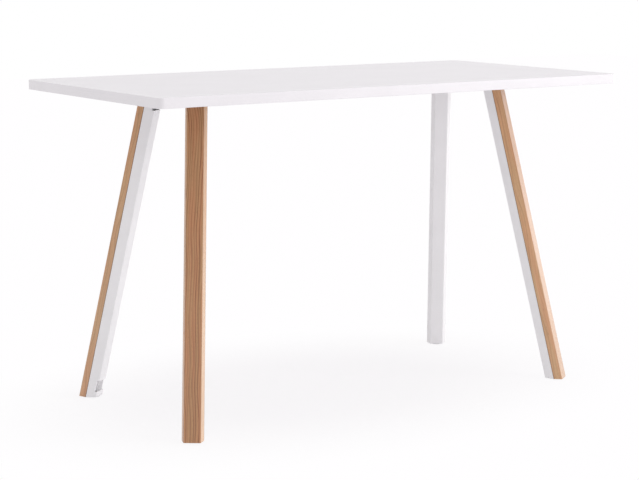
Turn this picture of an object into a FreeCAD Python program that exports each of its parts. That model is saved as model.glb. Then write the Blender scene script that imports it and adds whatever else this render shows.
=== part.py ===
"""High table with a laminated top on four splayed legs, each leg half wood and half hollow profile.

Millimetres. X runs along the top's length, Y across it, Z up. The origin is on the floor under the
middle of the top. A leg is drawn in its own frame and then placed: u points out of the table square
to the leg, s points sideways and w runs up along the leg; u = 0 is the seam between its two halves.
"""
import FreeCAD
import Part
import math
import os

Vector = FreeCAD.Vector
Rotation = FreeCAD.Rotation
X_AXIS = Vector(1, 0, 0)
Y_AXIS = Vector(0, 1, 0)
Z_AXIS = Vector(0, 0, 1)

# Table top
table_height = 1075.0
top_length = 1800.0
top_width = 900.0
core_thickness = 30.0
laminate_thickness = 1.0
edge_band_thickness = 2.0
edge_band_round = 1.5
edge_band_least_wall = 0.2
top_corner_radius = 20.0

# Stance of the legs: where the seam's middle line meets the underside, and how the leg leans outwards
leg_head_end_inset = 302.0
leg_head_spacing = 290.0
leg_direction = 54.5
leg_tilt = 13.4

# Leg section, square to the leg
wood_depth = 28.5
profile_depth = 33.0
outer_width = 53.5
seam_width = 70.0
inner_width = 47.5
profile_wall = 3.0
wood_arris_radius = 2.5
profile_arris_radius = 4.0
seam_arris_radius = 0.8

# Rib along the profile and the groove that the wood half slides on with
rib_neck_width = 8.0
rib_neck_height = 5.0
rib_head_width = 16.0
rib_head_height = 4.0
rib_clearance = 0.2

# Cable slots milled across the inner face of one profile, entry at the head and exit at the foot
cable_slot_length = 40.0
cable_slot_depth = 8.0
cable_slot_head_margin = 12.5
cable_slot_foot_margin = 18.0

# Bridge plate under the top, with its screws and their threaded inserts
bridge_thickness = 5.0
bridge_margin = 6.0
bridge_corner_radius = 15.0
bridge_screw_inset = 14.0
fixing_screw_radius = 3.0
fixing_screw_head_radius = 6.0
fixing_screw_length = 16.0
fixing_screw_socket_width = 4.0
fixing_screw_socket_depth = 2.4
insert_radius = 5.0
insert_length = 14.0
insert_end_gap = 0.5

# Head fitting: a flange under the bridge plate and a spigot bar in the profile
flange_thickness = 6.0
flange_bolt_gap = 16.0
flange_bolt_spacing = 56.0
flange_edge = 12.0
flange_corner_radius = 10.0
spigot_thickness = 10.0
spigot_length = 52.0
spigot_clearance = 0.2
spigot_side_gap = 2.0

# Countersunk screws from the seam face into the spigot
spigot_screw_radius = 3.0
spigot_screw_head_radius = 6.0
spigot_screw_length = 12.0
spigot_screw_socket_width = 4.0
spigot_screw_socket_depth = 2.4
spigot_screw_edge = 6.0
spigot_screw_first = 16.0
spigot_screw_pitch = 20.0

# Button-head bolts from the flange into the bridge plate
bolt_radius = 3.0
bolt_tip_gap = 1.0
bolt_head_radius = 5.25
bolt_head_height = 3.3
bolt_head_round = 2.0
bolt_socket_width = 4.0
bolt_socket_depth = 2.2

# Wood screws that lock the wood half under the flange
lock_screw_radius = 2.0
lock_screw_head_radius = 4.0
lock_screw_length = 40.0
lock_screw_socket_width = 2.5
lock_screw_socket_depth = 1.8
lock_screw_offset = 14.0
lock_screw_spacing = 40.0

# Foot plug, threaded bush and levelling glide
plug_height = 14.0
plug_clearance = 0.2
bush_radius = 6.0
stud_radius = 4.0
stud_spare_length = 6.0
stud_chamfer = 0.8
pad_radius = 15.0
pad_height = 2.5
pad_round = 0.8
pad_floor = 1.0

# Clearances of round parts seated in a hole, of threads and of free screw holes
seat_clearance = 0.05
thread_clearance = 0.05
free_hole_clearance = 0.3

# Derived levels and places
top_thickness = core_thickness + 2 * laminate_thickness
underside = table_height - top_thickness
core_bottom = underside + laminate_thickness
bridge_bottom = underside - bridge_thickness
leg_top = bridge_bottom - flange_thickness
leg_bottom = pad_height
plug_top = leg_bottom + plug_height
tilt_tan = math.tan(math.radians(leg_tilt))
tilt_cos = math.cos(math.radians(leg_tilt))
leg_head_x = top_length / 2 - leg_head_end_inset
leg_head_y = leg_head_spacing / 2
flange_bolt_out = wood_depth / tilt_cos + flange_bolt_gap
flange_bolt_back = profile_depth / tilt_cos + flange_bolt_gap
cut_spare = wood_depth + profile_depth + seam_width

# The sides of the table that each leg stands on, and the leg that takes the cables
LEG_SIDES = {
    "front_left": (-1, -1),
    "front_right": (1, -1),
    "rear_left": (-1, 1),
    "rear_right": (1, 1),
}
CABLE_LEG = "rear_left"


def save(shape, name):
    """Write one node to its own file."""
    shape.exportStep("parts/" + name + ".step")


def save_group(solids, name):
    """Write identical fasteners as separate solids of one node."""
    save(Part.makeCompound(solids), name)


def at_height(point, height):
    """The point moved straight up or down to a height."""
    return Vector(point.x, point.y, height)


def rounded_polygon(points, radii):
    """Face inside the corner points, each corner turned by an arc of its own radius."""
    arcs = []
    for i, corner in enumerate(points):
        back = (points[i - 1] - corner).normalize()
        ahead = (points[(i + 1) % len(points)] - corner).normalize()
        inward = (back + ahead).normalize()
        half_angle = back.getAngle(ahead) / 2
        reach = radii[i] / math.tan(half_angle)
        middle = corner + inward * (radii[i] / math.sin(half_angle) - radii[i])
        arcs.append(Part.Arc(corner + back * reach, middle, corner + ahead * reach))
    edges = []
    for i, arc in enumerate(arcs):
        following = arcs[(i + 1) % len(arcs)]
        edges.append(arc.toShape())
        edges.append(Part.LineSegment(arc.EndPoint, following.StartPoint).toShape())
    return Part.Face(Part.Wire(edges))


def inset_polygon(points, distance):
    """Corner points of a counter-clockwise polygon with every side moved inwards by the distance."""
    moved = []
    for i, corner in enumerate(points):
        before = Z_AXIS.cross((corner - points[i - 1]).normalize())
        after = Z_AXIS.cross((points[(i + 1) % len(points)] - corner).normalize())
        moved.append(corner + (before + after) * (distance / (1 + before.dot(after))))
    return moved


def rounded_rectangle(length, width, radius, height):
    """Face of a rectangle with round corners, centred on the Z axis at a height."""
    x, y = length / 2, width / 2
    corners = [Vector(-x, -y, height), Vector(x, -y, height),
               Vector(x, y, height), Vector(-x, y, height)]
    return rounded_polygon(corners, [radius] * 4)


def cylinder(radius, start, end):
    """Cylinder from one point to another."""
    axis = end - start
    return Part.makeCylinder(radius, axis.Length, start, axis)


def countersunk(head_radius, radius, length, point, direction):
    """Countersunk screw or hole: a cone of 90 degrees from the point down to a round shank."""
    head_depth = head_radius - radius
    head = Part.makeCone(head_radius, radius, head_depth, point, direction)
    shank = Part.makeCylinder(radius, length - head_depth, point + direction * head_depth, direction)
    return head.fuse(shank).removeSplitter()


def countersunk_hole(head_radius, radius, depth, point, direction):
    """Free hole for a countersunk screw."""
    spare = free_hole_clearance
    return countersunk(head_radius + spare, radius + spare, depth, point, direction)


def hex_socket(width, depth, point, direction):
    """Six-sided recess of a width across its flats, from a point into a screw's head."""
    radius = width / math.sqrt(3)
    corners = [Rotation(Z_AXIS, 60 * step).multVec(X_AXIS * radius) for step in range(6)]
    prism = Part.Face(Part.makePolygon(corners + corners[:1])).extrude(Z_AXIS * depth)
    prism.Placement = FreeCAD.Placement(point, Rotation(Z_AXIS, direction))
    return prism


def round_edges(shape, low, high):
    """Full circles of a shape whose middles lie between two heights."""
    return [edge for edge in shape.Edges
            if edge.Curve.TypeId == "Part::GeomCircle" and low < edge.CenterOfMass.z < high]


class Leg:
    """Where one leg stands: the frame of its section and its level directions."""

    def __init__(self, name):
        x_side, y_side = LEG_SIDES[name]
        direction = math.radians(leg_direction)
        angle = math.degrees(math.atan2(y_side * math.sin(direction), x_side * math.cos(direction)))
        self.name = name
        self.turn = Rotation(Z_AXIS, angle)
        self.head = Vector(x_side * leg_head_x, y_side * leg_head_y, underside)
        self.frame = FreeCAD.Placement(self.head, self.turn.multiply(Rotation(Y_AXIS, -leg_tilt)))

    def level_point(self, height, outwards, sideways=0.0):
        """Point at a height, so far outwards and sideways from the seam's middle line, measured level."""
        run = (underside - height) * tilt_tan + outwards
        return at_height(self.head + self.turn.multVec(Vector(run, sideways, 0)), height)

    def prism(self, face, low, high):
        """Section carried along the leg and cut level at both heights."""
        start = along_leg(low) - cut_spare
        solid = face.translated(Z_AXIS * start).extrude(Z_AXIS * (along_leg(high) + cut_spare - start))
        solid.Placement = self.frame
        box = solid.BoundBox
        corner = Vector(box.XMin - cut_spare, box.YMin - cut_spare, low)
        slab = Part.makeBox(box.XLength + 2 * cut_spare, box.YLength + 2 * cut_spare, high - low, corner)
        return solid.common(slab)


def along_leg(height):
    """Place along the leg's own w axis where the seam's middle line passes a height."""
    return (height - underside) / tilt_cos


# Table top

def fixing_points():
    """Places on the underside where the bridge plates are screwed to the top."""
    points = []
    for side in (-1, 1):
        for column in (-1, 1):
            for row in (-1, 0, 1):
                x = side * leg_head_x + column * (bridge_width / 2 - bridge_screw_inset)
                y = row * (bridge_length / 2 - bridge_screw_inset)
                points.append(Vector(x, y, underside))
    return points


def board_layer(bottom, thickness):
    """Layer of the board inside the edge band."""
    length = top_length - 2 * edge_band_thickness
    width = top_width - 2 * edge_band_thickness
    radius = top_corner_radius - edge_band_thickness
    return rounded_rectangle(length, width, radius, bottom).extrude(Z_AXIS * thickness)


def make_board():
    """Core board and both laminates, with the holes for the threaded inserts."""
    screw_reach = fixing_screw_length - bridge_thickness - laminate_thickness
    insert_hole_depth = max(insert_length, screw_reach) + insert_end_gap
    core = board_layer(core_bottom, core_thickness)
    lower = board_layer(underside, laminate_thickness)
    for point in fixing_points():
        hole_end = at_height(point, core_bottom + insert_hole_depth)
        hole = cylinder(insert_radius + seat_clearance, point, hole_end)
        core = core.cut(hole)
        lower = lower.cut(hole)
    save(core, "tabletop_core")
    save(lower, "tabletop_lower_laminate")
    save(board_layer(core_bottom + core_thickness, laminate_thickness), "tabletop_upper_laminate")


def make_edge_band():
    """Band round the board, with its two outer arrises rounded."""
    block = rounded_rectangle(top_length, top_width, top_corner_radius, underside)
    block = block.extrude(Z_AXIS * top_thickness)
    rims = [edge for edge in block.Edges if edge.BoundBox.ZLength < top_thickness / 2]
    block = block.makeFillet(min(edge_band_round, edge_band_thickness - edge_band_least_wall), rims)
    save(block.cut(board_layer(underside, top_thickness)), "tabletop_edge_band")


# Leg sections in the leg's own frame, counter-clockwise

def wood_corners():
    """Outer half: from the seam to the narrower outer face."""
    seam, outer = seam_width / 2, outer_width / 2
    return [Vector(0, -seam), Vector(wood_depth, -outer), Vector(wood_depth, outer), Vector(0, seam)]


def profile_corners():
    """Inner half: from the narrower inner face to the seam."""
    seam, inner = seam_width / 2, inner_width / 2
    return [Vector(-profile_depth, -inner), Vector(0, -seam),
            Vector(0, seam), Vector(-profile_depth, inner)]


def hollow_face(clearance=0.0):
    """The profile's hollow, or a plug that fits it with a clearance."""
    corners = inset_polygon(profile_corners(), profile_wall + clearance)
    bend = max(profile_arris_radius - profile_wall - clearance, seam_arris_radius)
    return rounded_polygon(corners, [bend] * 4)


def hollow_half_width(u):
    """Half of the hollow's width at a place behind the seam."""
    inner, outer = inset_polygon(profile_corners(), profile_wall)[:2]
    share = (u - inner.x) / (outer.x - inner.x)
    return -(inner.y + share * (outer.y - inner.y))


def spigot_edges():
    """Near face, far face and half width of the spigot bar in the hollow."""
    near = -profile_wall - spigot_clearance
    far = near - spigot_thickness
    return near, far, hollow_half_width(far) - spigot_side_gap


def rib_face(clearance):
    """Tee section of the rib, or of its groove when there is a clearance."""
    neck = rib_neck_width / 2 + clearance
    head = rib_head_width / 2 + clearance
    shoulder = rib_neck_height - clearance
    crown = rib_neck_height + rib_head_height + clearance
    half = [Vector(0, neck), Vector(shoulder, neck), Vector(shoulder, head), Vector(crown, head)]
    mirrored = [Vector(point.x, -point.y) for point in reversed(half)]
    return Part.Face(Part.makePolygon(half + mirrored + half[:1]))


# Fastener places of one leg

def spigot_screw_places(leg):
    """Heads on the seam face, two rows of two."""
    first = along_leg(leg_top) - spigot_screw_first
    offset = spigot_edges()[2] - spigot_screw_edge
    return [leg.frame.multVec(Vector(0, side * offset, w))
            for w in (first, first - spigot_screw_pitch) for side in (-1, 1)]


def spigot_screw_direction(leg):
    """From the seam face into the spigot."""
    return leg.frame.Rotation.multVec(-X_AXIS)


def lock_screw_places(leg):
    """Heads on top of the flange, over the end of the wood half."""
    aside = lock_screw_spacing / 2
    points = [leg.level_point(leg_top, lock_screw_offset, s) for s in (-aside, aside)]
    return [at_height(point, bridge_bottom) for point in points]


def flange_bolt_places(leg):
    """Bolt axes at the corners of the flange, on its lower face."""
    side = flange_bolt_spacing / 2
    return [leg.level_point(leg_top, u, s)
            for u in (-flange_bolt_back, flange_bolt_out) for s in (-side, side)]


# Pieces of one leg

def make_wood_half(leg):
    """Solid wood half with the groove for the rib and holes for its lock screws."""
    radii = [seam_arris_radius, wood_arris_radius, wood_arris_radius, seam_arris_radius]
    wood = leg.prism(rounded_polygon(wood_corners(), radii), leg_bottom, leg_top)
    wood = wood.cut(leg.prism(rib_face(rib_clearance), leg_bottom - rib_clearance, leg_top + rib_clearance))
    for point in lock_screw_places(leg):
        tip = point - Z_AXIS * (lock_screw_length + seat_clearance)
        wood = wood.cut(cylinder(lock_screw_radius + seat_clearance, tip, point))
    save(wood, leg.name + "_leg_wood")


def cable_slots(leg):
    """Blocks that cut the entry and the exit slot across the inner face."""
    end_shift = profile_depth * tilt_tan
    exit_low = along_leg(leg_bottom) + end_shift + cable_slot_foot_margin
    entry_low = along_leg(leg_top) + end_shift - cable_slot_head_margin - cable_slot_length
    blocks = []
    for low in (exit_low, entry_low):
        corner = Vector(-profile_depth - cable_slot_depth, -seam_width / 2, low)
        block = Part.makeBox(2 * cable_slot_depth, seam_width, cable_slot_length, corner)
        block.Placement = leg.frame.multiply(block.Placement)
        blocks.append(block)
    return blocks


def make_profile(leg):
    """Hollow profile with its rib, the screw holes in its seam wall and, in one leg, the cable slots."""
    radii = [profile_arris_radius, seam_arris_radius, seam_arris_radius, profile_arris_radius]
    outside = rounded_polygon(profile_corners(), radii)
    section = outside.cut(hollow_face()).fuse(rib_face(0.0)).removeSplitter()
    profile = leg.prism(section.Faces[0], leg_bottom, leg_top)
    inwards = spigot_screw_direction(leg)
    for point in spigot_screw_places(leg):
        profile = profile.cut(countersunk_hole(spigot_screw_head_radius, spigot_screw_radius,
                                               spigot_screw_length, point, inwards))
    if leg.name == CABLE_LEG:
        for block in cable_slots(leg):
            profile = profile.cut(block)
    save(profile, leg.name + "_leg_profile")


def make_head_fitting(leg):
    """Flange under the bridge plate, welded to a spigot bar that lies along the profile's seam wall."""
    side = flange_bolt_spacing / 2 + flange_edge
    back = -flange_bolt_back - flange_edge
    out = flange_bolt_out + flange_edge
    outline = ((back, -side), (out, -side), (out, side), (back, side))
    corners = [leg.level_point(leg_top, u, s) for u, s in outline]
    flange = rounded_polygon(corners, [flange_corner_radius] * 4).extrude(Z_AXIS * flange_thickness)

    near, far, half = spigot_edges()
    bar_corners = [Vector(far, -half), Vector(near, -half), Vector(near, half), Vector(far, half)]
    bar_face = Part.Face(Part.makePolygon(bar_corners + bar_corners[:1]))
    fitting = flange.fuse(leg.prism(bar_face, leg_top - spigot_length, leg_top)).removeSplitter()

    for point in flange_bolt_places(leg):
        hole_end = at_height(point, bridge_bottom)
        fitting = fitting.cut(cylinder(bolt_radius + free_hole_clearance, point, hole_end))
    for point in spigot_screw_places(leg):
        end = point + spigot_screw_direction(leg) * (spigot_thickness - far)
        fitting = fitting.cut(cylinder(spigot_screw_radius + seat_clearance, point, end))
    for point in lock_screw_places(leg):
        fitting = fitting.cut(countersunk_hole(lock_screw_head_radius, lock_screw_radius, flange_thickness,
                                               point, -Z_AXIS))
    save(fitting, leg.name + "_leg_head_fitting")


def make_foot(leg):
    """Plug in the profile's lower end, its threaded bush, and the levelling glide's stud and pad."""
    middle = (leg_bottom + plug_top) / 2
    axis_point = leg.level_point(middle, -profile_depth / 2 / tilt_cos)

    def rod(radius, low, high):
        return cylinder(radius, at_height(axis_point, low), at_height(axis_point, high))

    plug = leg.prism(hollow_face(plug_clearance), leg_bottom, plug_top)
    save(plug.cut(rod(bush_radius + seat_clearance, leg_bottom, plug_top)), leg.name + "_foot_plug")

    bush = rod(bush_radius, leg_bottom, plug_top)
    save(bush.cut(rod(stud_radius + thread_clearance, leg_bottom, plug_top)), leg.name + "_foot_bush")

    stud = rod(stud_radius, pad_floor, plug_top + stud_spare_length)
    stud = stud.makeChamfer(stud_chamfer, round_edges(stud, middle, table_height))
    save(stud, leg.name + "_glide_stud")

    pad = rod(pad_radius, 0, pad_height)
    pad = pad.makeFillet(pad_round, round_edges(pad, -pad_height, pad_height / 2))
    save(pad.cut(rod(stud_radius + seat_clearance, pad_floor, pad_height)), leg.name + "_glide_pad")


# Steel under the top

def make_bridge(name, side, legs):
    """Plate under the top that carries the two leg heads of one end."""
    plate = rounded_rectangle(bridge_width, bridge_length, bridge_corner_radius, bridge_bottom)
    plate = plate.extrude(Z_AXIS * bridge_thickness)
    plate.translate(X_AXIS * (side * leg_head_x))
    for point in fixing_points():
        head = at_height(point, bridge_bottom)
        plate = plate.cut(countersunk_hole(fixing_screw_head_radius, fixing_screw_radius, bridge_thickness,
                                           head, Z_AXIS))
    for leg in legs:
        for point in flange_bolt_places(leg):
            start = at_height(point, bridge_bottom)
            plate = plate.cut(cylinder(bolt_radius + thread_clearance, start, at_height(point, underside)))
    save(plate, name)


# Fasteners, one node for each kind

def make_top_fixings():
    """Threaded inserts in the core and the countersunk screws that hold the bridge plates to them."""
    inserts = []
    screws = []
    for point in fixing_points():
        low = at_height(point, core_bottom)
        high = at_height(point, core_bottom + insert_length)
        bore = cylinder(fixing_screw_radius + thread_clearance, low, high)
        inserts.append(cylinder(insert_radius, low, high).cut(bore))
        head = at_height(point, bridge_bottom)
        screw = countersunk(fixing_screw_head_radius, fixing_screw_radius, fixing_screw_length, head, Z_AXIS)
        screws.append(screw.cut(hex_socket(fixing_screw_socket_width, fixing_screw_socket_depth, head, Z_AXIS)))
    save_group(inserts, "threaded_inserts")
    save_group(screws, "top_fixing_screws")


def button_bolt(point):
    """Bolt with a socket in its round head, the head under the flange and the tip inside the bridge plate."""
    head_bottom = point - Z_AXIS * bolt_head_height
    head = cylinder(bolt_head_radius, head_bottom, point)
    rim = round_edges(head, -table_height, point.z - bolt_head_height / 2)
    head = head.makeFillet(bolt_head_round, rim)
    shank = cylinder(bolt_radius, point, at_height(point, underside - bolt_tip_gap))
    bolt = head.fuse(shank).removeSplitter()
    return bolt.cut(hex_socket(bolt_socket_width, bolt_socket_depth, head_bottom, Z_AXIS))


def spigot_screw(point, direction):
    """Countersunk screw from the seam face into the spigot."""
    screw = countersunk(spigot_screw_head_radius, spigot_screw_radius, spigot_screw_length, point, direction)
    return screw.cut(hex_socket(spigot_screw_socket_width, spigot_screw_socket_depth, point, direction))


def lock_screw(point):
    """Countersunk wood screw from the top of the flange down into the wood half."""
    screw = countersunk(lock_screw_head_radius, lock_screw_radius, lock_screw_length, point, -Z_AXIS)
    return screw.cut(hex_socket(lock_screw_socket_width, lock_screw_socket_depth, point, -Z_AXIS))


def make_leg_fasteners(legs):
    """Flange bolts, spigot screws and wood lock screws of all legs."""
    bolts = [button_bolt(point) for leg in legs for point in flange_bolt_places(leg)]
    spigot_screws = [spigot_screw(point, spigot_screw_direction(leg))
                     for leg in legs for point in spigot_screw_places(leg)]
    lock_screws = [lock_screw(point) for leg in legs for point in lock_screw_places(leg)]
    save_group(bolts, "leg_head_bolts")
    save_group(spigot_screws, "spigot_screws")
    save_group(lock_screws, "wood_lock_screws")


def flange_reach(leg, axis):
    """How far the flange's bolts and their edge reach from the leg's head along X or Y."""
    return max(abs((point - leg.head).dot(axis)) for point in flange_bolt_places(leg)) + flange_edge


os.makedirs("parts", exist_ok=True)
LEGS = [Leg(name) for name in LEG_SIDES]
bridge_width = 2 * (flange_reach(LEGS[0], X_AXIS) + bridge_margin)
bridge_length = leg_head_spacing + 2 * (flange_reach(LEGS[0], Y_AXIS) + bridge_margin)

make_board()
make_edge_band()
make_bridge("left_bridge_plate", -1, LEGS)
make_bridge("right_bridge_plate", 1, LEGS)
make_top_fixings()
for one_leg in LEGS:
    make_wood_half(one_leg)
    make_profile(one_leg)
    make_head_fitting(one_leg)
    make_foot(one_leg)
make_leg_fasteners(LEGS)
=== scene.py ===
"""Looks of the high table: oak and white finishes, threaded glides, studio light and camera.

Lengths are in metres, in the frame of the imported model: X along the top, Y across it, Z up.
"""
import math

import bpy
import numpy as np
from mathutils import Matrix, Vector


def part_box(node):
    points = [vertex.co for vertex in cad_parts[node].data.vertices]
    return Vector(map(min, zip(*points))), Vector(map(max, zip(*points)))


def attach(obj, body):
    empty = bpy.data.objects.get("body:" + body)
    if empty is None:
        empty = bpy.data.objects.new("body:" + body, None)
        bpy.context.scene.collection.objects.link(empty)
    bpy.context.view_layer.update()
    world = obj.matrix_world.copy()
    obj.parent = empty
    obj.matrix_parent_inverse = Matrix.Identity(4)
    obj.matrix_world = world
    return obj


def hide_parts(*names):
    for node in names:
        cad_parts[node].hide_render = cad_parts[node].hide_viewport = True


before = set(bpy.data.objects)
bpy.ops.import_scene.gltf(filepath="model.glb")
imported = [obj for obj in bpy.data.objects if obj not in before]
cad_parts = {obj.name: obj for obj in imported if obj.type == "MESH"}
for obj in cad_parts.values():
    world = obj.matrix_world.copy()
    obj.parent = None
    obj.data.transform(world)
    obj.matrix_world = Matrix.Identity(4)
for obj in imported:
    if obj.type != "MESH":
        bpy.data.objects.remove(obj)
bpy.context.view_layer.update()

# The photograph's width in pixels and the camera that took it
PHOTO_WIDTH = 639
FOCAL_PIXELS = 1801.8
SENSOR_WIDTH = 36.0
FARTHEST_SEEN = 100.0
CAMERA_PLACE = (-3.4403, -5.0337, 1.5139)
CAMERA_AIM = (-0.0227, 0.0185, 0.5149)

# Table top
TOP_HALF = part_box("tabletop_edge_band")[1]
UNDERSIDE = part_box("tabletop_lower_laminate")[0].z
TOP_CORNER = 0.02
BAND_THICKNESS = 0.002
GLUE_LINE = 0.00025

# Stance of the legs: the seam's middle line meets the underside of the top at the head
LEG_SIDES = {
    "front_left": (-1, -1),
    "front_right": (1, -1),
    "rear_left": (-1, 1),
    "rear_right": (1, 1),
}
LEG_HEAD_END_INSET = 0.302
LEG_HEAD_SPACING = 0.290
LEG_DIRECTION = math.radians(54.5)
LEG_TILT = math.radians(13.4)
CABLE_LEG = "rear_left"

# Leg section, square to the leg: depth and half widths of its wood half and of its hollow profile
WOOD_DEPTH = 0.0285
WOOD_OUTER_HALF = 0.02675
SEAM_HALF = 0.035
PROFILE_DEPTH = 0.033
PROFILE_INNER_HALF = 0.02375
PROFILE_WALL = 0.003

# Glide stud
STUD_RADIUS = 0.004
THREAD_PITCH = 0.00125
THREAD_DEPTH = 0.0006
RINGS_IN_PITCH = 8
STUD_SIDES = 48


# Shader sockets as values in Python expressions

class Value:
    """A shader socket that takes part in arithmetic: each operator adds one Math node."""

    def __init__(self, finish, socket):
        self.finish = finish
        self.socket = socket

    def math(self, operation, *others):
        """Math node of this value and of others after it."""
        inputs = dict(enumerate((self, *others)))
        return self.finish.node("ShaderNodeMath", {"operation": operation}, inputs)

    def __add__(self, other):
        return self.math("ADD", other)

    def __sub__(self, other):
        return self.math("SUBTRACT", other)

    def __rsub__(self, other):
        return self.finish.node("ShaderNodeMath", {"operation": "SUBTRACT"}, {0: other, 1: self})

    def __mul__(self, other):
        return self.math("MULTIPLY", other)

    def __truediv__(self, other):
        return self.math("DIVIDE", other)

    def __pow__(self, other):
        return self.math("POWER", other)

    def __abs__(self):
        return self.math("ABSOLUTE")

    __radd__ = __add__
    __rmul__ = __mul__

    def root(self):
        return self.math("SQRT")

    def floor(self):
        return self.math("FLOOR")

    def fraction(self):
        return self.math("FRACT")

    def least(self, other):
        return self.math("MINIMUM", other)

    def most(self, other):
        return self.math("MAXIMUM", other)

    def rise(self, low, high):
        """0 below low, 1 above high and a smooth step between; it falls where low is above high."""
        return self.finish.node(
            "ShaderNodeMapRange",
            {"interpolation_type": "SMOOTHSTEP", "clamp": True},
            {"Value": self, "From Min": low, "From Max": high},
        )

    def parts(self):
        """The three numbers of a vector."""
        split = self.finish.node("ShaderNodeSeparateXYZ", {}, {0: self}, None)
        return [Value(self.finish, socket) for socket in split.outputs]


class Finish:
    """The nodes of one material or of the world, all made by one method."""

    def __init__(self, name, world=False):
        self.owner = bpy.data.worlds.new(name) if world else bpy.data.materials.new(name)
        self.owner.use_nodes = True
        self.nodes = self.owner.node_tree.nodes
        self.links = self.owner.node_tree.links
        self.nodes.clear()
        self.output = self.nodes.new("ShaderNodeOutputWorld" if world else "ShaderNodeOutputMaterial")

    def node(self, kind, settings, inputs, outlet=0):
        """Adds a node: its settings, then the values or links of its sockets; gives one output."""
        made = self.nodes.new(kind)
        for key, value in settings.items():
            setattr(made, key, value)
        for key, value in inputs.items():
            if isinstance(value, Value):
                self.links.new(value.socket, made.inputs[key])
            else:
                made.inputs[key].default_value = value
        return made if outlet is None else Value(self, made.outputs[outlet])

    def place(self, location=(0, 0, 0), rotation=(0, 0, 0)):
        """Object coordinates, read in a frame at a location with a rotation."""
        raw = self.node("ShaderNodeTexCoord", {}, {}, "Object")
        return self.node(
            "ShaderNodeMapping",
            {"vector_type": "TEXTURE"},
            {"Vector": raw, "Location": location, "Rotation": rotation},
        )

    def stretch(self, vector, factors):
        """Vector or colour times one factor for each of its parts."""
        return self.node("ShaderNodeVectorMath", {"operation": "MULTIPLY"}, {0: vector, 1: factors})

    def move(self, vector, offset):
        """Vector plus an offset."""
        return self.node("ShaderNodeVectorMath", {"operation": "ADD"}, {0: vector, 1: offset})

    def noise(self, place, cells, detail=2.0, roughness=0.5):
        """Smooth noise from 0 to 1, with so many cells per metre, alike or one number for each axis."""
        if isinstance(cells, tuple):
            place = self.stretch(place, cells)
            cells = 1.0
        return self.node(
            "ShaderNodeTexNoise",
            {"noise_dimensions": "3D"},
            {"Vector": place, "Scale": cells, "Detail": detail, "Roughness": roughness},
        )

    def noise_along(self, value, cells, detail=1.0):
        """Smooth noise from 0 to 1 along one number, with so many cells in each unit of it."""
        return self.node(
            "ShaderNodeTexNoise",
            {"noise_dimensions": "1D"},
            {"W": value, "Scale": cells, "Detail": detail},
        )

    def chance(self, value):
        """A number from 0 to 1 that jumps from one whole number to the next."""
        return self.node("ShaderNodeTexWhiteNoise", {"noise_dimensions": "1D"}, {"W": value})

    def blend(self, share, first, second):
        """Colour from the first to the second as the share goes from 0 to 1.

        The colours are a Mix node's inputs 6 and 7, and their mix is its output 2.
        """
        settings = {"data_type": "RGBA", "blend_type": "MIX", "clamp_factor": True}
        return self.node("ShaderNodeMix", settings, {0: share, 6: first, 7: second}, 2)

    def bump(self, height, distance, strength):
        """Surface normal tipped by a height that spans the distance."""
        inputs = {"Height": height, "Distance": distance, "Strength": strength}
        return self.node("ShaderNodeBump", {}, inputs)

    def plain_rays(self):
        """1 for what is seen directly, in a gloss or through glass, and 0 for what lights a surface."""
        rays = self.node("ShaderNodeLightPath", {}, {}, None)
        seen, mirrored, through = (
            Value(self, rays.outputs[kind])
            for kind in ("Is Camera Ray", "Is Glossy Ray", "Is Transmission Ray")
        )
        return seen.most(mirrored).most(through)

    def show(self, shader):
        """Sends a shader to the output and gives the material or world."""
        self.links.new(shader.socket, self.output.inputs["Surface"])
        return self.owner

    def surface(self, **sockets):
        """Shows a principled shader with these sockets."""
        inputs = {key.replace("_", " "): value for key, value in sockets.items()}
        return self.show(self.node("ShaderNodeBsdfPrincipled", {}, inputs))


def linear(red, green, blue):
    """Scene-linear colour of a display colour given as 0 to 255."""
    shares = np.array([red, green, blue]) / 255
    shown = np.where(shares <= 0.04045, shares / 12.92, ((shares + 0.055) / 1.055) ** 2.4)
    return (*shown.tolist(), 1.0)


# Oak of the legs: its colours, painted light and shadow among them, and factors of painted face shade and
# hue
OAK_LIGHT = linear(216, 172, 134)
OAK_MIDDLE = linear(199, 152, 114)
OAK_DARK = linear(145, 91, 50)
OAK_PAINTED_LIGHT = linear(246, 210, 176)
OAK_PORE = linear(106, 66, 43)
OAK_SEAM_SHADOW = linear(86, 52, 34)
OAK_SIDE_FACE = (0.95, 0.915, 0.845, 1.0)
OAK_FLAT_FACE_SHADE = (0.755, 0.63, 0.49, 1.0)
OAK_REDDISH = (1.04, 0.975, 0.95, 1.0)
OAK_OLIVE = (0.955, 1.015, 0.99, 1.0)

# Where each leg was cut from its log: the pith's place in the section, and a shift along the log
GRAIN = {
    "front_left": (-0.055, 0.175, 0.0),
    "front_right": (-0.070, -0.150, 3.7),
    "rear_left": (-0.040, 0.160, 7.9),
    "rear_right": (-0.060, -0.190, 12.3),
}

# Growth rings: their pitch, how far ripples move them and how far the pith wanders beside the leg
RING_PITCH = 0.0074
RING_RIPPLE = 0.0120
PITH_SWAY = 0.055
SWAYS_PER_METRE = 2.6

# Cells of the oak's patterns per metre outwards, sideways and along the leg
OAK_RIPPLES = (34, 34, 5.5)
OAK_CLOUDS = (28, 28, 5)
OAK_HUES = (75, 75, 3.4)
OAK_STREAKS = (150, 150, 4.0)
OAK_FIBRES = (1500, 1500, 22)
OAK_PORES = (2100, 2100, 70)

# Faces given painted light that grows paler towards the foot, how much paler each one gets, and where along
# the leg
FOOT_LIGHT_FACES = {"front_left": ("side", 0.58), "front_right": ("outer", 0.36)}
FOOT_LIGHT_AT_HEAD = 0.08
FOOT_LIGHT_RUN = (-0.05, -0.85)

# Where these begin and where they are full: the flat face below the outer plane, a side facet past the
# outer half width, a painted highlight with wear from an arris, painted shade from the seam, and the oil
# film along the leg from its head
FLAT_FACE_BELOW = (0.003, 0.0008)
SIDE_FACET_PAST = (-0.0005, 0.0015)
ARRIS_HIGHLIGHT_AND_WEAR = (0.0035, 0.0008)
SEAM_SHADE = (0.0030, 0.0010)
OIL_RUN = (-0.05, -0.90)


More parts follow.
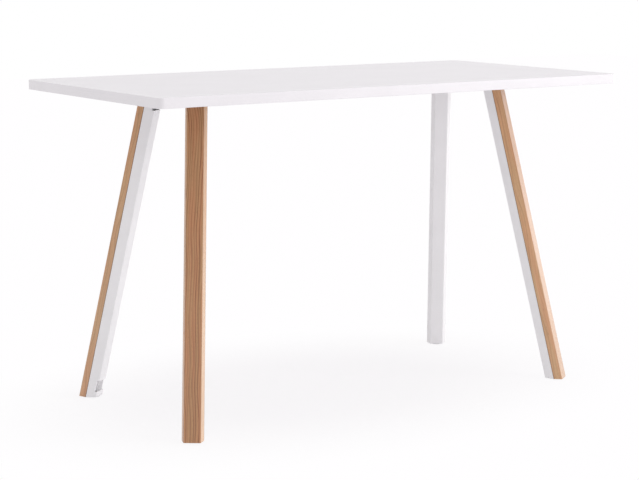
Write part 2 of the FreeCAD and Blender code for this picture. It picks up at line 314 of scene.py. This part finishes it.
def leg_frame(leg):
    """Location and rotation of a leg's own frame: outwards, sideways and up along the leg."""
    x_side, y_side = LEG_SIDES[leg]
    level = Vector((x_side * math.cos(LEG_DIRECTION), y_side * math.sin(LEG_DIRECTION), 0))
    up = Vector((0, 0, 1))
    outwards = level * math.cos(LEG_TILT) + up * math.sin(LEG_TILT)
    along = up * math.cos(LEG_TILT) - level * math.sin(LEG_TILT)
    sideways = along.cross(outwards)
    turn = Matrix((outwards, sideways, along)).transposed().to_euler("XYZ")
    head = (x_side * (TOP_HALF.x - LEG_HEAD_END_INSET), y_side * LEG_HEAD_SPACING / 2, UNDERSIDE)
    return head, tuple(turn)


def leg_oak(leg):
    """Oiled oak: growth rings round a pith beside the leg, pores in early wood, fibres along it."""
    finish = Finish(leg + "_leg_oak")
    pith_out, pith_side, shift = GRAIN[leg]
    place = finish.place(*leg_frame(leg))
    out, side, along = place.parts()
    log = finish.move(place, (0.0, 0.0, shift))

    sway = finish.noise_along(along + shift, SWAYS_PER_METRE) - 0.5
    ripple = finish.noise(log, OAK_RIPPLES, detail=1.0) - 0.5
    from_pith = ((out - pith_out) ** 2 + (side - pith_side + sway * PITH_SWAY) ** 2).root()
    rings = (from_pith + ripple * RING_RIPPLE) / RING_PITCH
    rings = rings + finish.noise_along(rings, 0.45, detail=2.0) * 1.2
    ring = rings.fraction()
    late = ring.rise(0.30, 0.86) * ring.rise(1.0, 0.90)
    late = late * (finish.chance(rings.floor()) * 0.65 + 0.35)

    fibre = finish.noise(log, OAK_FIBRES, detail=3.0, roughness=0.6)
    streak = finish.noise(log, OAK_STREAKS, detail=3.0, roughness=0.6)
    cloud = finish.noise(log, OAK_CLOUDS)
    hue = finish.noise(log, OAK_HUES)
    pore = finish.noise(log, OAK_PORES, detail=1.0).rise(0.60, 0.70) * ring.rise(0.55, 0.10)

    flat_face = out.rise(*(WOOD_DEPTH - below for below in FLAT_FACE_BELOW))
    lines = late * (0.42 + flat_face * 0.52)
    tone = lines + (streak - 0.5) * 0.85 + (fibre - 0.5) * 0.30 + (cloud - 0.5) * 0.30
    colour = finish.blend(tone.rise(-0.25, 0.25), OAK_LIGHT, OAK_MIDDLE)
    colour = finish.blend(tone.rise(0.15, 0.90), colour, OAK_DARK)
    colour = finish.blend(pore * 0.55, colour, OAK_PORE)
    # Painted shade: the flat outer face is made darker than the other faces
    colour = finish.stretch(colour, finish.blend(flat_face, OAK_SIDE_FACE, OAK_FLAT_FACE_SHADE))
    colour = finish.stretch(colour, finish.blend(hue.rise(0.36, 0.64), OAK_REDDISH, OAK_OLIVE))

    # Painted light from the bright floor: the face lit from the right grows paler towards the foot
    if leg in FOOT_LIGHT_FACES:
        face, paler = FOOT_LIGHT_FACES[leg]
        side_facet = side.rise(*(WOOD_OUTER_HALF + past for past in SIDE_FACET_PAST))
        share = along.rise(*FOOT_LIGHT_RUN) * paler + FOOT_LIGHT_AT_HEAD
        colour = finish.blend((side_facet if face == "side" else flat_face) * share, colour, OAK_PAINTED_LIGHT)

    arris = ((out - WOOD_DEPTH) ** 2 + (abs(side) - WOOD_OUTER_HALF) ** 2).root()
    # Painted highlight along the arrises, together with wear: lighter oak there, a little smoother and less
    # oiled
    arris_highlight_and_wear = arris.rise(*ARRIS_HIGHLIGHT_AND_WEAR) * (cloud * 0.7 + 0.3)
    colour = finish.blend(arris_highlight_and_wear * 0.28, colour, OAK_LIGHT)
    # Painted shadow in the groove along the seam
    colour = finish.blend(out.rise(*SEAM_SHADE) * 0.75, colour, OAK_SEAM_SHADOW)

    height = fibre * 0.35 - pore * 0.8 - late * 0.25
    return finish.surface(
        Base_Color=colour,
        Roughness=0.48 + pore * 0.25 + (streak - 0.5) * 0.16 - arris_highlight_and_wear * 0.08,
        Normal=finish.bump(height, distance=0.0002, strength=0.35),
        Coat_Weight=0.25 + along.rise(*OIL_RUN) * 0.70 - pore * 0.20 - arris_highlight_and_wear * 0.08,
        Coat_Roughness=0.36,
    )


# Lacquer of the hollow profiles: colours, cells per metre, and the heights where scuffs and glow fade out
LACQUER = linear(242, 241, 242)
LACQUER_SHADE = linear(236, 235, 236)
SCUFF = linear(172, 168, 166)
NO_GLOW = (0.0, 0.0, 0.0, 1.0)
SLOT_GLOW = (0.090, 0.088, 0.090, 1.0)
LACQUER_CLOUDS = 9.0
LACQUER_PEEL = 620.0
LACQUER_DUST = 2600.0
LACQUER_MARKS = (240, 240, 900)
SCUFFED_BELOW = (0.055, 0.008)
GLOWING_BELOW = (0.20, 0.10)


def white_lacquer(slotted=False):
    """Satin lacquer: a trace of orange peel, faint clouds and scuffs just above the floor.

    The profile with the cable slots glows faintly inside its wall near the floor, in place of light that
    bounces there many times and keeps the lower slot from going dark.
    """
    finish = Finish("satin_white_lacquer_slotted" if slotted else "satin_white_lacquer")
    place = finish.place()
    height_above_floor = place.parts()[2]
    cloud = finish.noise(place, LACQUER_CLOUDS, detail=3.0)
    peel = finish.noise(place, LACQUER_PEEL, detail=1.0)
    dust = finish.noise(place, LACQUER_DUST)
    marks = finish.noise(place, LACQUER_MARKS, detail=3.0, roughness=0.65)
    scuff = marks.rise(0.60, 0.74) * height_above_floor.rise(*SCUFFED_BELOW)
    colour = finish.blend(cloud.rise(0.30, 0.72) * 0.5, LACQUER, LACQUER_SHADE)
    colour = finish.blend(scuff * 0.35, colour, SCUFF)
    glow = {}
    if slotted:
        out, side, _ = finish.place(*leg_frame(CABLE_LEG)).parts()
        half_width = SEAM_HALF + out * ((SEAM_HALF - PROFILE_INNER_HALF) / PROFILE_DEPTH)
        under_skin = (out + PROFILE_DEPTH).least(half_width - abs(side)).least(0.0 - out)
        inside = under_skin.rise(PROFILE_WALL * 0.5, PROFILE_WALL) * height_above_floor.rise(*GLOWING_BELOW)
        glow["Emission_Color"] = finish.blend(inside, NO_GLOW, SLOT_GLOW)
        glow["Emission_Strength"] = 1.0
    return finish.surface(
        Base_Color=colour,
        Roughness=0.56 + (cloud - 0.5) * 0.12 + dust * 0.04 + scuff * 0.2,
        Normal=finish.bump(peel + dust * 0.15, distance=0.00004, strength=0.30),
        Specular_IOR_Level=0.30,
        **glow,
    )


# Laminates, edge band and core of the top: colours, and cells per metre
WHITE = linear(239, 236, 239)
WHITE_SHADE = linear(231, 228, 231)
BACKING = linear(226, 225, 226)
BACKING_SHADE = linear(214, 213, 214)
CHIP = linear(203, 172, 128)
CHIP_SHADE = linear(150, 116, 76)
LAMINATE_PEARL = 1150.0
LAMINATE_SHEEN = 5.5
LAMINATE_WIPES = (3.0, 60.0, 1.0)
BAND_STREAKS = (7, 7, 2200)
BAND_CLOUDS = 7.0
CORE_CHIPS = (160, 160, 420)
CORE_GRIT = 900.0


def white_laminate(name, first, second, dullness):
    """Pressed laminate: a fine pearl texture, faint clouds of sheen and a few wiping marks."""
    finish = Finish(name)
    place = finish.place()
    pearl = finish.noise(place, LAMINATE_PEARL, roughness=0.6)
    sheen = finish.noise(place, LAMINATE_SHEEN, detail=3.0)
    wipes = finish.noise(place, LAMINATE_WIPES, detail=4.0, roughness=0.6)
    colour = finish.blend(sheen.rise(0.20, 0.80) * 0.24 + (pearl - 0.5) * 0.16, first, second)
    return finish.surface(
        Base_Color=colour,
        Roughness=dullness + (sheen - 0.5) * 0.10 + (wipes - 0.5) * 0.07 + (pearl - 0.5) * 0.05,
        Normal=finish.bump(pearl, distance=0.00005, strength=0.35),
        Specular_IOR_Level=0.04,
    )


def edge_band():
    """Glued plastic band: fine scraper streaks along it, and a hairline of glue beside the laminate."""
    finish = Finish("white_edge_band")
    place = finish.place()
    x, y, _ = place.parts()
    beyond_x = abs(x) - (TOP_HALF.x - TOP_CORNER)
    beyond_y = abs(y) - (TOP_HALF.y - TOP_CORNER)
    round_part = (beyond_x.most(0.0) ** 2 + beyond_y.most(0.0) ** 2).root()
    inside = TOP_CORNER - round_part - beyond_x.most(beyond_y).least(0.0)
    glue = abs(inside - BAND_THICKNESS).rise(GLUE_LINE, 0.0)
    streak = finish.noise(place, BAND_STREAKS, detail=3.0, roughness=0.6)
    cloud = finish.noise(place, BAND_CLOUDS)
    colour = finish.blend(cloud.rise(0.3, 0.7) * 0.3 + (streak - 0.5) * 0.2, WHITE, WHITE_SHADE)
    colour = finish.blend(glue * 0.45, colour, SCUFF)
    return finish.surface(
        Base_Color=colour,
        Roughness=0.25 + (streak - 0.5) * 0.14 + (cloud - 0.5) * 0.06,
        Normal=finish.bump(streak, distance=0.00004, strength=0.30),
    )


def core_board():
    """Pressed wood chips of mixed tones."""
    finish = Finish("chip_core_board")
    place = finish.place()
    cells = {"Vector": finish.stretch(place, CORE_CHIPS)}
    tone = finish.node("ShaderNodeTexVoronoi", {"feature": "F1"}, cells, "Color").parts()[0]
    grit = finish.noise(place, CORE_GRIT, detail=3.0)
    return finish.surface(
        Base_Color=finish.blend(tone * 0.7 + grit * 0.3, CHIP, CHIP_SHADE),
        Roughness=0.78 + (grit - 0.5) * 0.2,
        Normal=finish.bump(tone + grit, distance=0.0004, strength=0.5),
    )


# Metal and plastic of the fittings: colours, cells per metre, and the height of the wear under a pad
COAT = linear(222, 222, 224)
COAT_SHADE = linear(205, 206, 209)
ZINC = linear(196, 200, 206)
ZINC_SHADE = linear(172, 176, 184)
BRASS = linear(214, 178, 104)
BRASS_SHADE = linear(190, 150, 82)
PLUG = linear(232, 231, 232)
PLUG_SHADE = linear(222, 221, 222)
PAD = linear(232, 232, 233)
PAD_SHADE = linear(220, 219, 218)
COAT_GRAIN = 1500.0
COAT_CLOUDS = 14.0
METAL_TURNING = (350, 350, 5200)
METAL_BLOTCHES = 240.0
PLASTIC_GRAIN = 2400.0
PLASTIC_FLOW = (90, 60, 140)
PAD_WEAR = 0.0012


def powder_coat():
    """Light powder coat on the steel under the top: a fine leather-like grain and faint clouds."""
    finish = Finish("light_powder_coat")
    place = finish.place()
    grain = finish.noise(place, COAT_GRAIN, roughness=0.55)
    cloud = finish.noise(place, COAT_CLOUDS)
    return finish.surface(
        Base_Color=finish.blend(cloud * 0.6 + (grain - 0.5) * 0.5, COAT, COAT_SHADE),
        Roughness=0.52 + (grain - 0.5) * 0.2 + (cloud - 0.5) * 0.08,
        Normal=finish.bump(grain, distance=0.00012, strength=0.5),
    )


def plated_metal(name, first, second, dullness):
    """Plated or turned metal: fine turning marks, blotches of tone and of gloss."""
    finish = Finish(name)
    place = finish.place()
    turning = finish.noise(place, METAL_TURNING)
    blotch = finish.noise(place, METAL_BLOTCHES, detail=3.0)
    return finish.surface(
        Base_Color=finish.blend(blotch.rise(0.3, 0.7), first, second),
        Metallic=1.0,
        Roughness=dullness + (blotch - 0.5) * 0.18 + (turning - 0.5) * 0.14,
        Normal=finish.bump(turning, distance=0.00003, strength=0.35),
    )


def moulded_plastic(name, first, second, dullness):
    """Moulded plastic: spark-eroded grain, faint flow clouds and dull wear where it meets the floor."""
    finish = Finish(name)
    place = finish.place()
    grain = finish.noise(place, PLASTIC_GRAIN)
    flow = finish.noise(place, PLASTIC_FLOW, detail=3.0)
    wear = place.parts()[2].rise(PAD_WEAR, 0.0)
    return finish.surface(
        Base_Color=finish.blend(flow.rise(0.3, 0.75) * 0.7 + wear * 0.3, first, second),
        Roughness=dullness + (grain - 0.5) * 0.14 + wear * 0.2,
        Normal=finish.bump(grain, distance=0.00005, strength=0.45),
    )


# Modelled pieces

def add_object(name, data):
    """Object of a mesh, lamp or camera in the scene, at the origin."""
    made = bpy.data.objects.new(name, data)
    bpy.context.scene.collection.objects.link(made)
    return made


def closed_tube(name, rings):
    """Tube through rings, an array by ring, place round the ring and coordinate, with a cap at each end.

    A wall face joins a point and the next one round its ring to the same two on the ring after it.
    """
    count, around = rings.shape[:2]
    index = np.arange(count * around).reshape(count, around)
    following = np.roll(index, -1, axis=1)
    walls = np.stack([index[:-1], following[:-1], following[1:], index[1:]], axis=-1).reshape(-1, 4)
    faces = walls.tolist() + [index[0, ::-1].tolist(), index[-1].tolist()]
    mesh = bpy.data.meshes.new(name)
    mesh.from_pydata(rings.reshape(-1, 3).tolist(), [], faces)
    mesh.update()
    return add_object(name, mesh)


def thread_glide(leg, metal):
    """Threaded stud of a glide, in place of the plain one.

    Its radius at a height and an angle is the stud's radius less a triangle wave of the thread's depth.
    The wave's phase is height over pitch less turns, so its crest climbs one pitch in each turn. Over the
    last pitch the radius is also held to a taper, down to the thread's core at the tip.
    """
    low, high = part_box(leg + "_glide_stud")
    middle = (low + high) / 2
    levels = round((high.z - low.z) / THREAD_PITCH * RINGS_IN_PITCH)
    height = np.linspace(low.z, high.z, levels)[:, None]
    turn = np.linspace(0, 2 * np.pi, STUD_SIDES, endpoint=False)[None, :]
    phase = ((height - low.z) / THREAD_PITCH - turn / (2 * np.pi)) % 1.0
    wave = 1 - np.abs(2 * phase - 1)
    from_tip = np.clip((high.z - height) / THREAD_PITCH, 0, 1)
    radius = np.minimum(STUD_RADIUS - THREAD_DEPTH * wave, STUD_RADIUS - THREAD_DEPTH * (1 - from_tip))
    x = middle.x + radius * np.cos(turn)
    y = middle.y + radius * np.sin(turn)
    z = np.broadcast_to(height, radius.shape)
    stud = closed_tube(leg + "_threaded_stud", np.stack([x, y, z], axis=-1))
    stud.data.materials.append(metal)
    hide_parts(leg + "_glide_stud")
    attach(stud, leg + "_glide")


def dress(finish, *nodes):
    """Gives one material to CAD nodes."""
    for name in nodes:
        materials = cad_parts[name].data.materials
        materials.clear()
        materials.append(finish)


def dress_table():
    """Every CAD node's finish, and the threaded studs."""
    lacquer = white_lacquer()
    slotted_lacquer = white_lacquer(slotted=True)
    coat = powder_coat()
    zinc = plated_metal("zinc_plated_steel", ZINC, ZINC_SHADE, 0.34)
    brass = plated_metal("turned_brass", BRASS, BRASS_SHADE, 0.30)
    plug = moulded_plastic("off_white_plug", PLUG, PLUG_SHADE, 0.50)
    pad = moulded_plastic("milky_glide", PAD, PAD_SHADE, 0.46)

    dress(core_board(), "tabletop_core")
    dress(white_laminate("pearl_white_laminate", WHITE, WHITE_SHADE, 0.58), "tabletop_upper_laminate")
    dress(white_laminate("backing_laminate", BACKING, BACKING_SHADE, 0.55), "tabletop_lower_laminate")
    dress(edge_band(), "tabletop_edge_band")
    dress(coat, "left_bridge_plate", "right_bridge_plate")
    dress(zinc, "leg_head_bolts", "top_fixing_screws", "spigot_screws", "wood_lock_screws")
    dress(brass, "threaded_inserts")
    for leg in LEG_SIDES:
        dress(leg_oak(leg), leg + "_leg_wood")
        dress(slotted_lacquer if leg == CABLE_LEG else lacquer, leg + "_leg_profile")
        dress(coat, leg + "_leg_head_fitting")
        dress(plug, leg + "_foot_plug")
        dress(brass, leg + "_foot_bush")
        dress(pad, leg + "_glide_pad")
        thread_glide(leg, zinc)


# Floor: its paint, its white away from the table, and the patch round the table that keeps its shadow
FLOOR_HALF = 14.0
FLOOR_PAINT = (0.90, 0.875, 0.90, 1.0)
FLOOR_WHITE = (1.0, 0.992, 1.0, 1.0)
SHADOW_MIDDLE = (-0.07, 0.03, 0.0)
SHADOW_REACH = (1.02, 0.69)
SHADOW_FADE = (0.40, 1.30)
WHITE_IN_SHADOW = 0.72

# Light: the strength of the even surroundings, and each lamp's place, width, height and watts
PURE_WHITE = (1.0, 1.0, 1.0, 1.0)
SURROUNDINGS = 0.80
LAMP_AIM = (0, 0, 0.55)
LAMPS = {
    "key": ((5.2, -5.8, 2.6), 3.6, 4.4, 163),
    "side": ((6.6, 0.6, 1.2), 6.5, 2.8, 64),
    "above": ((0.0, 0.0, 4.5), 4.0, 4.0, 17),
}


def studio_floor():
    """Pale level square: lit and shaded near the table, plain white away from it, clear from below."""
    finish = Finish("studio_floor")
    diffuse = finish.node("ShaderNodeBsdfDiffuse", {}, {"Color": FLOOR_PAINT})
    white = finish.node("ShaderNodeEmission", {}, {"Color": FLOOR_WHITE, "Strength": 1.0})
    clear = finish.node("ShaderNodeBsdfTransparent", {}, {})
    x, y, _ = finish.place(SHADOW_MIDDLE).parts()
    away = ((x / SHADOW_REACH[0]) ** 2 + (y / SHADOW_REACH[1]) ** 2).root().rise(*SHADOW_FADE)
    plain = finish.plain_rays() * (WHITE_IN_SHADOW + away * (1 - WHITE_IN_SHADOW))
    lit = finish.node("ShaderNodeMixShader", {}, {0: plain, 1: diffuse, 2: white})
    below = finish.node("ShaderNodeNewGeometry", {}, {}, "Backfacing")
    shown = finish.node("ShaderNodeMixShader", {}, {0: below, 1: lit, 2: clear})

    corners = [(x * FLOOR_HALF, y * FLOOR_HALF, 0) for x, y in ((-1, -1), (1, -1), (1, 1), (-1, 1))]
    mesh = bpy.data.meshes.new("studio_floor")
    mesh.from_pydata(corners, [], [(0, 1, 2, 3)])
    mesh.materials.append(finish.show(shown))
    floor = add_object("studio_floor", mesh)


def turn_to(thing, place, aim):
    """Puts a lamp or the camera at a place, looking at a point."""
    thing.location = place
    thing.rotation_euler = (Vector(aim) - Vector(place)).to_track_quat("-Z", "Y").to_euler()


def studio_light():
    """Even surroundings, a key on the right of the view, a low lamp beside it and a weak fill above."""
    around = Finish("studio", world=True)
    light = around.node("ShaderNodeBackground", {}, {"Color": PURE_WHITE, "Strength": SURROUNDINGS})
    white = around.node("ShaderNodeBackground", {}, {"Color": PURE_WHITE, "Strength": 1.0})
    mixed = around.node("ShaderNodeMixShader", {}, {0: around.plain_rays(), 1: light, 2: white})
    bpy.context.scene.world = around.show(mixed)
    for name, (place, width, height, watts) in LAMPS.items():
        lamp = bpy.data.lights.new(name, "AREA")
        lamp.shape = "RECTANGLE"
        lamp.size = width
        lamp.size_y = height
        lamp.energy = watts
        turn_to(add_object(name, lamp), place, LAMP_AIM)


def photo_camera():
    """Camera at the photograph's place and focal length."""
    lens = bpy.data.cameras.new("photo_camera")
    lens.sensor_fit = "HORIZONTAL"
    lens.sensor_width = SENSOR_WIDTH
    lens.lens = FOCAL_PIXELS * SENSOR_WIDTH / PHOTO_WIDTH
    lens.clip_end = FARTHEST_SEEN
    camera = add_object("photo_camera", lens)
    turn_to(camera, CAMERA_PLACE, CAMERA_AIM)
    bpy.context.scene.camera = camera


bpy.context.scene.view_settings.view_transform = "Standard"
dress_table()
studio_floor()
studio_light()
photo_camera()
